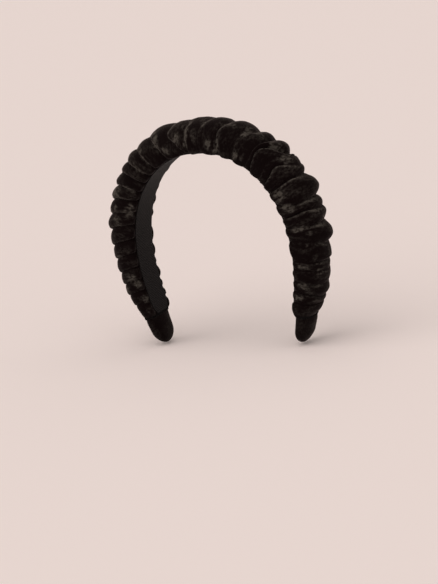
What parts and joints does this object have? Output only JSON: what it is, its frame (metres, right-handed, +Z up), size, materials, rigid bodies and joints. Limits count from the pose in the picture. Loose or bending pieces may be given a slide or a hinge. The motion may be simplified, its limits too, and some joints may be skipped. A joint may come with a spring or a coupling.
{
  "type": "padded headband",
  "caption": "Padded alice band with a ruched black velvet sleeve over a foam pad, a springy U-shaped core, a ribbon lining and smooth tips.",
  "frame": {"origin": "middle of the head side at the crown, on the lining's flat", "axes": "+Z up and out of the crown, +X towards the wearer's left, -Y towards the wearer's face; the band lies in the XZ plane"},
  "size_m": [0.1636, 0.038, 0.1577],
  "materials": {
    "sleeve_velvet": "black crushed velvet, matt with a soft grey sheen at the fold edges",
    "tip_velvet": "black velvet, plain and unpleated",
    "lining_ribbon": "black grosgrain ribbon with fine cross ribs",
    "core_plastic": "moulded black plastic, satin",
    "pad_foam": "soft open-cell foam, grey",
    "sewing_thread": "black polyester sewing thread"
  },
  "bodies": {
    "crown": {"core_crown": "core_plastic", "foam_crown": "pad_foam", "ruched_sleeve_crown": "sleeve_velvet", "lining_ribbon_crown": "lining_ribbon", "front_gathering_thread_crown": "sewing_thread", "rear_gathering_thread_crown": "sewing_thread"},
    "left_leg": {"core_left": "core_plastic", "foam_left": "pad_foam", "ruched_sleeve_left": "sleeve_velvet", "lining_ribbon_left": "lining_ribbon", "front_gathering_thread_left": "sewing_thread", "rear_gathering_thread_left": "sewing_thread", "tip_cover_left": "tip_velvet", "sleeve_end_seam_left": "sewing_thread"},
    "right_leg": {"core_right": "core_plastic", "foam_right": "pad_foam", "ruched_sleeve_right": "sleeve_velvet", "lining_ribbon_right": "lining_ribbon", "front_gathering_thread_right": "sewing_thread", "rear_gathering_thread_right": "sewing_thread", "tip_cover_right": "tip_velvet", "sleeve_end_seam_right": "sewing_thread"}
  },
  "joints": [
    {"name": "left_leg_flex", "type": "hinge", "parent": "crown", "child": "left_leg", "pos_m": [0.04343, 0, -0.01532], "axis": [0, -1, 0], "range_deg": [-2, 12], "stiffness_Nm_per_rad": 1.3},
    {"name": "right_leg_flex", "type": "hinge", "parent": "crown", "child": "right_leg", "pos_m": [-0.04343, 0, -0.01532], "axis": [0, 1, 0], "range_deg": [-2, 12], "stiffness_Nm_per_rad": 1.3}
  ]
}
